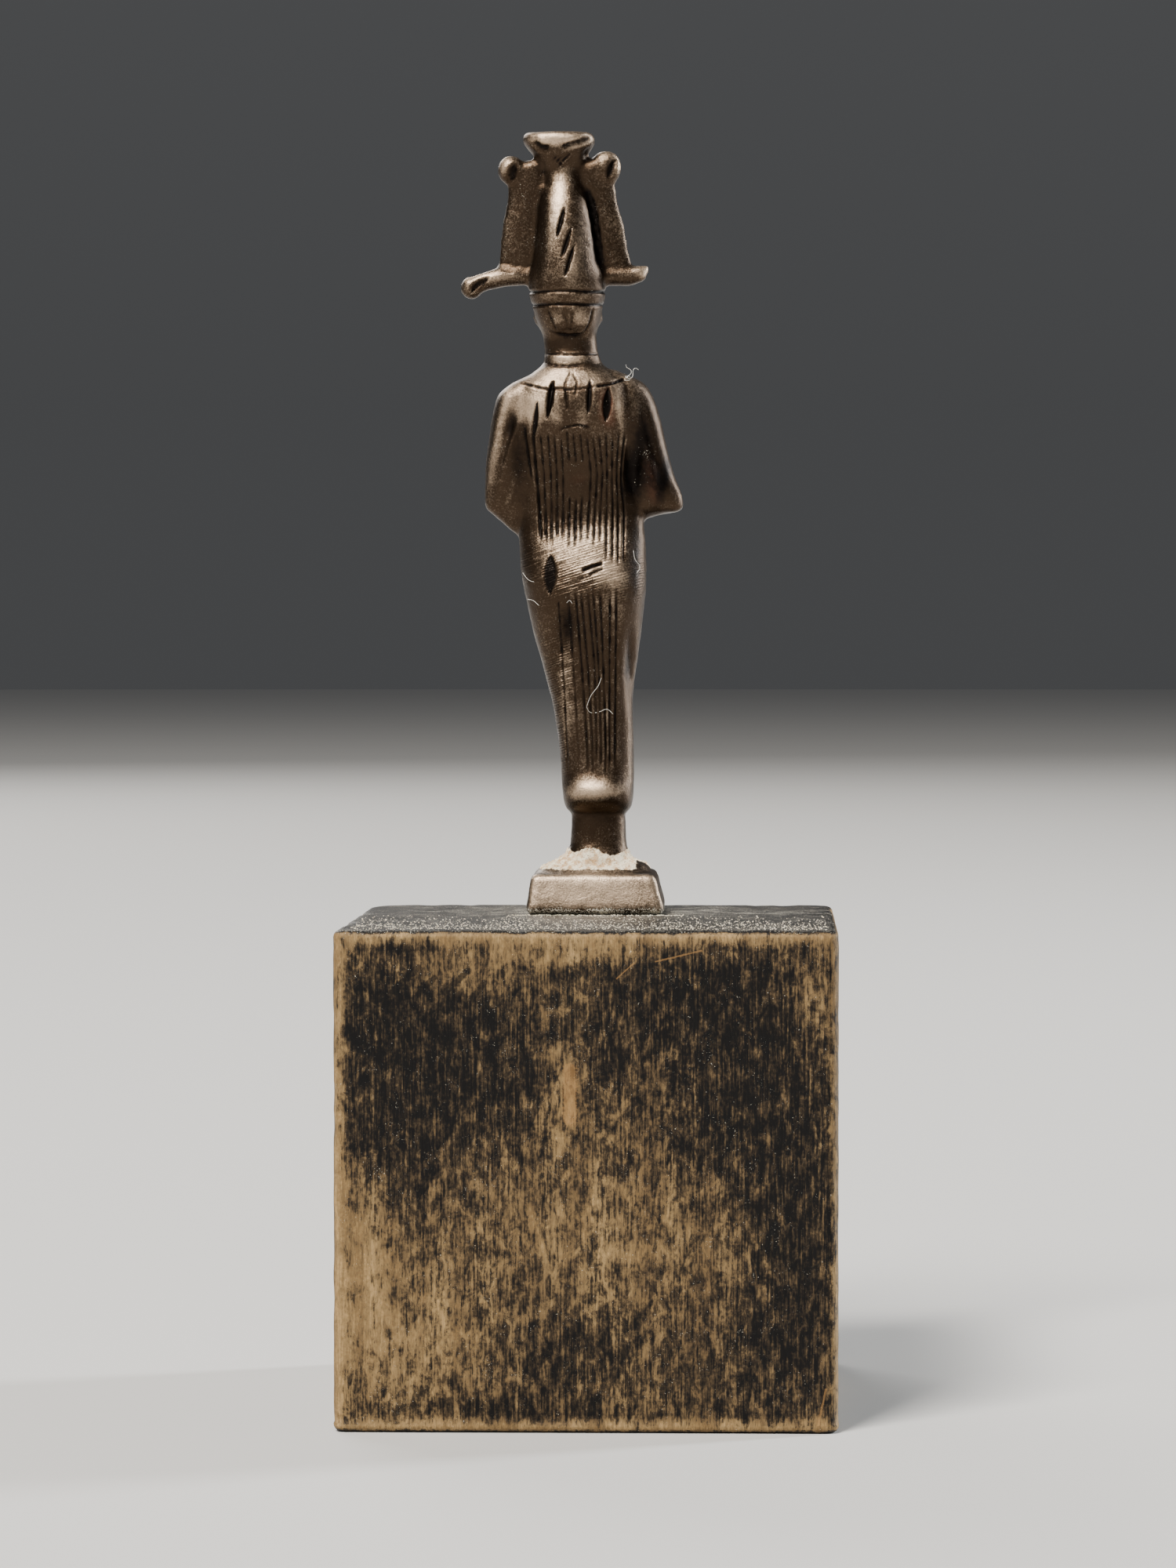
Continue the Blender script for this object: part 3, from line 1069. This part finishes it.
earth_clouds = step_between(tree, noise_at(tree, where, 2600.0, 5.0, 0.72), 0.38, 0.58)
earth_colour = blend(tree, earth_clouds, EARTH_SHADE, EARTH)
stained_grains = times(tree, step_between(tree, grains, 0.57, 0.66), 0.75)
earth_colour = blend(tree, stained_grains, earth_colour, RED_PATINA)
colour = blend(tree, earth_mask, colour, earth_colour)
dust = dust_mask(tree, where)
colour = blend(tree, dust, colour, DUST)
tree.links.new(colour, shader.inputs["Base Color"])
covered_up = add_node(tree, "ShaderNodeMath", {
    0: earth_mask, 1: dust,
}, operation="MAXIMUM").outputs[0]
metal = sum_of(tree, (covered_up, -0.95), (speckle, -0.6), 0.95)
tree.links.new(metal, shader.inputs["Metallic"])
BRONZE_ROUGHNESS = 0.25
gloss = sum_of(tree, (covered_up, 0.5), (grains, 0.22), (worn_here, 0.10), BRONZE_ROUGHNESS)
tree.links.new(gloss, shader.inputs["Roughness"])
relief = sum_of(
    tree, (grains, 0.62), (pits, 0.5), (marks_here, 0.9), (earth_mask, 0.8),
    (times(tree, earth_mask, grains), 2.4),
)
bump = add_node(tree, "ShaderNodeBump", {"Height": relief, "Strength": 0.6, "Distance": 0.00007})
tree.links.new(bump.outputs["Normal"], shader.inputs["Normal"])
one_skin.materials.clear()
one_skin.materials.append(bronze)


# Loose dust: grains of pale grit that lie along the foot of the base and over the block's top. They
# are no part of the object and nothing holds them.
foot_y = FOOT[1] + HEEL_INSET
top_z = block_high[2] - 0.00002
luck = np.random.default_rng(7)
grain_cloud = bmesh.new()


def add_grain(place, radius):
    """One angular grain, a flattened icosahedron turned at random."""
    turned = Matrix.Rotation(luck.uniform(0, 6.28), 4, "Z")
    turned = turned @ Matrix.Rotation(luck.uniform(-0.5, 0.5), 4, "X")
    bmesh.ops.create_icosphere(
        handful, subdivisions=1, radius=radius,
        matrix=Matrix.Translation(place) @ turned @ Matrix.Diagonal((1.0, 0.75, 0.6, 1)),
    )


# The grains are made a handful at a time, because each new one takes longer in a large mesh
GRAINS_AT_FOOT, GRAINS_ON_TOP, HANDFUL = 420, 2600, 200
base_middle = FOOT[0] + BASE_SHIFT
handful = bmesh.new()
for _ in range(GRAINS_AT_FOOT):
    along = luck.uniform(-BASE_WIDTH / 2 - 0.0012, BASE_WIDTH / 2 + 0.0012)
    from_base = abs(luck.normal(0, 0.0008))
    radius = 0.00002 + 0.00005 * luck.uniform(0, 1) ** 2
    add_grain((base_middle + along, foot_y + 0.0001 + from_base, top_z + radius * 0.3), radius)
take_in(grain_cloud, handful)
for k in range(GRAINS_ON_TOP):
    if k % HANDFUL == 0:
        handful = bmesh.new()
    across = luck.uniform(-0.0154, 0.0154)
    back = block_high[1] - 0.0008 - luck.uniform(0, 0.0175) * luck.uniform(0.2, 1.0)
    radius = 0.000017 + 0.000050 * luck.uniform(0, 1) ** 2
    add_grain((across, back, top_z + radius * 0.3), radius)
    if k % HANDFUL == HANDFUL - 1:
        take_in(grain_cloud, handful)
grain_mesh = mesh_of("dust_grains", grain_cloud)
dust_material, tree, shader, where = new_material("pale dust")
tint = noise_at(tree, where, 2600.0, 2.0)
tree.links.new(blend(tree, step_between(tree, tint, 0.4, 0.62), DUST, EARTH), shader.inputs["Base Color"])
shader.inputs["Roughness"].default_value = 0.7
dust_grains = make_piece("dust_grains", grain_mesh)
grain_mesh.materials.append(dust_material)
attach(dust_grains, "root")

# Loose fibres: a few white threads of lint that cling to the figure's back. Each is a thin curve
# through points on the back, given by x, level and how far it lifts off, in parts.
FIBRE_THICKNESS = 0.000011
LINT = (0.78, 0.76, 0.70)
TUFT_PLACE = (-42.0, 634.0, 2.0)
FIBRES = [
    [(9, 213, 2), (4, 206, 1.5), (-8, 207, 1.5), (-17, 210, 2), (-25, 204, 3)],
    [(9, 213, 2), (3, 228, 2), (-6, 240, 1.5), (-10, 250, 3)],
    [(91, 385, 3), (86, 378, 2), (80, 374, 2), (76, 373, 2)],
    [(85, 351, 3), (77, 349, 2), (70, 343, 2)],
    [(-51, 413, 3), (-53, 402, 3), (-59, 392, 2), (-55, 384, 3)],
    [(34, 346, 2), (30, 349, 2), (27, 345, 2)],
]
# A tuft of lint has caught where the collar meets the right shoulder
for _ in range(4):
    at = np.array(TUFT_PLACE)
    tuft = []
    for _ in range(4):
        tuft.append(tuple(at))
        at = at + luck.normal(0, 1, 3) * (3.6, 6.0, 0.8)
    FIBRES.append(tuft)
skin_parts = (points_of(one_skin) - np.array(FOOT)) / PART
on_back = skin_parts[:, 1] > -20
threads = bmesh.new()
for fibre in FIBRES:
    spots = []
    for x_at, level_at, lift in fibre:
        far = np.hypot(skin_parts[:, 0] - x_at, skin_parts[:, 2] - level_at) - skin_parts[:, 1] * 0.05
        nearest = skin_parts[np.argmin(np.where(on_back, far, 1e9))]
        spots.append(Vector((x_at, nearest[1] + lift, level_at)))
    line = bpy.data.curves.new("fibre", "CURVE")
    line.dimensions = "3D"
    spline = line.splines.new("BEZIER")
    spline.bezier_points.add(len(spots) - 1)
    for point, spot_at in zip(spline.bezier_points, spots):
        point.co = spot_at * PART + FOOT
        point.handle_left_type = point.handle_right_type = "AUTO"
    line.bevel_depth = FIBRE_THICKNESS
    line.bevel_resolution = 2
    line.resolution_u = 6
    line.use_fill_caps = True
    holder = bpy.data.objects.new("fibre", line)
    put_in_scene(holder)
    bpy.context.view_layer.update()
    thread = bpy.data.meshes.new_from_object(holder.evaluated_get(bpy.context.evaluated_depsgraph_get()))
    threads.from_mesh(thread)
    bpy.data.objects.remove(holder)
    bpy.data.curves.remove(line)
    bpy.data.meshes.remove(thread)
bmesh.ops.remove_doubles(threads, verts=threads.verts, dist=1e-7)
thread_mesh = mesh_of("dust_fibres", threads)
dust_fibres = make_piece("dust_fibres", thread_mesh)
thread_mesh.materials.append(matt_material("white lint", LINT))
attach(dust_fibres, "root")
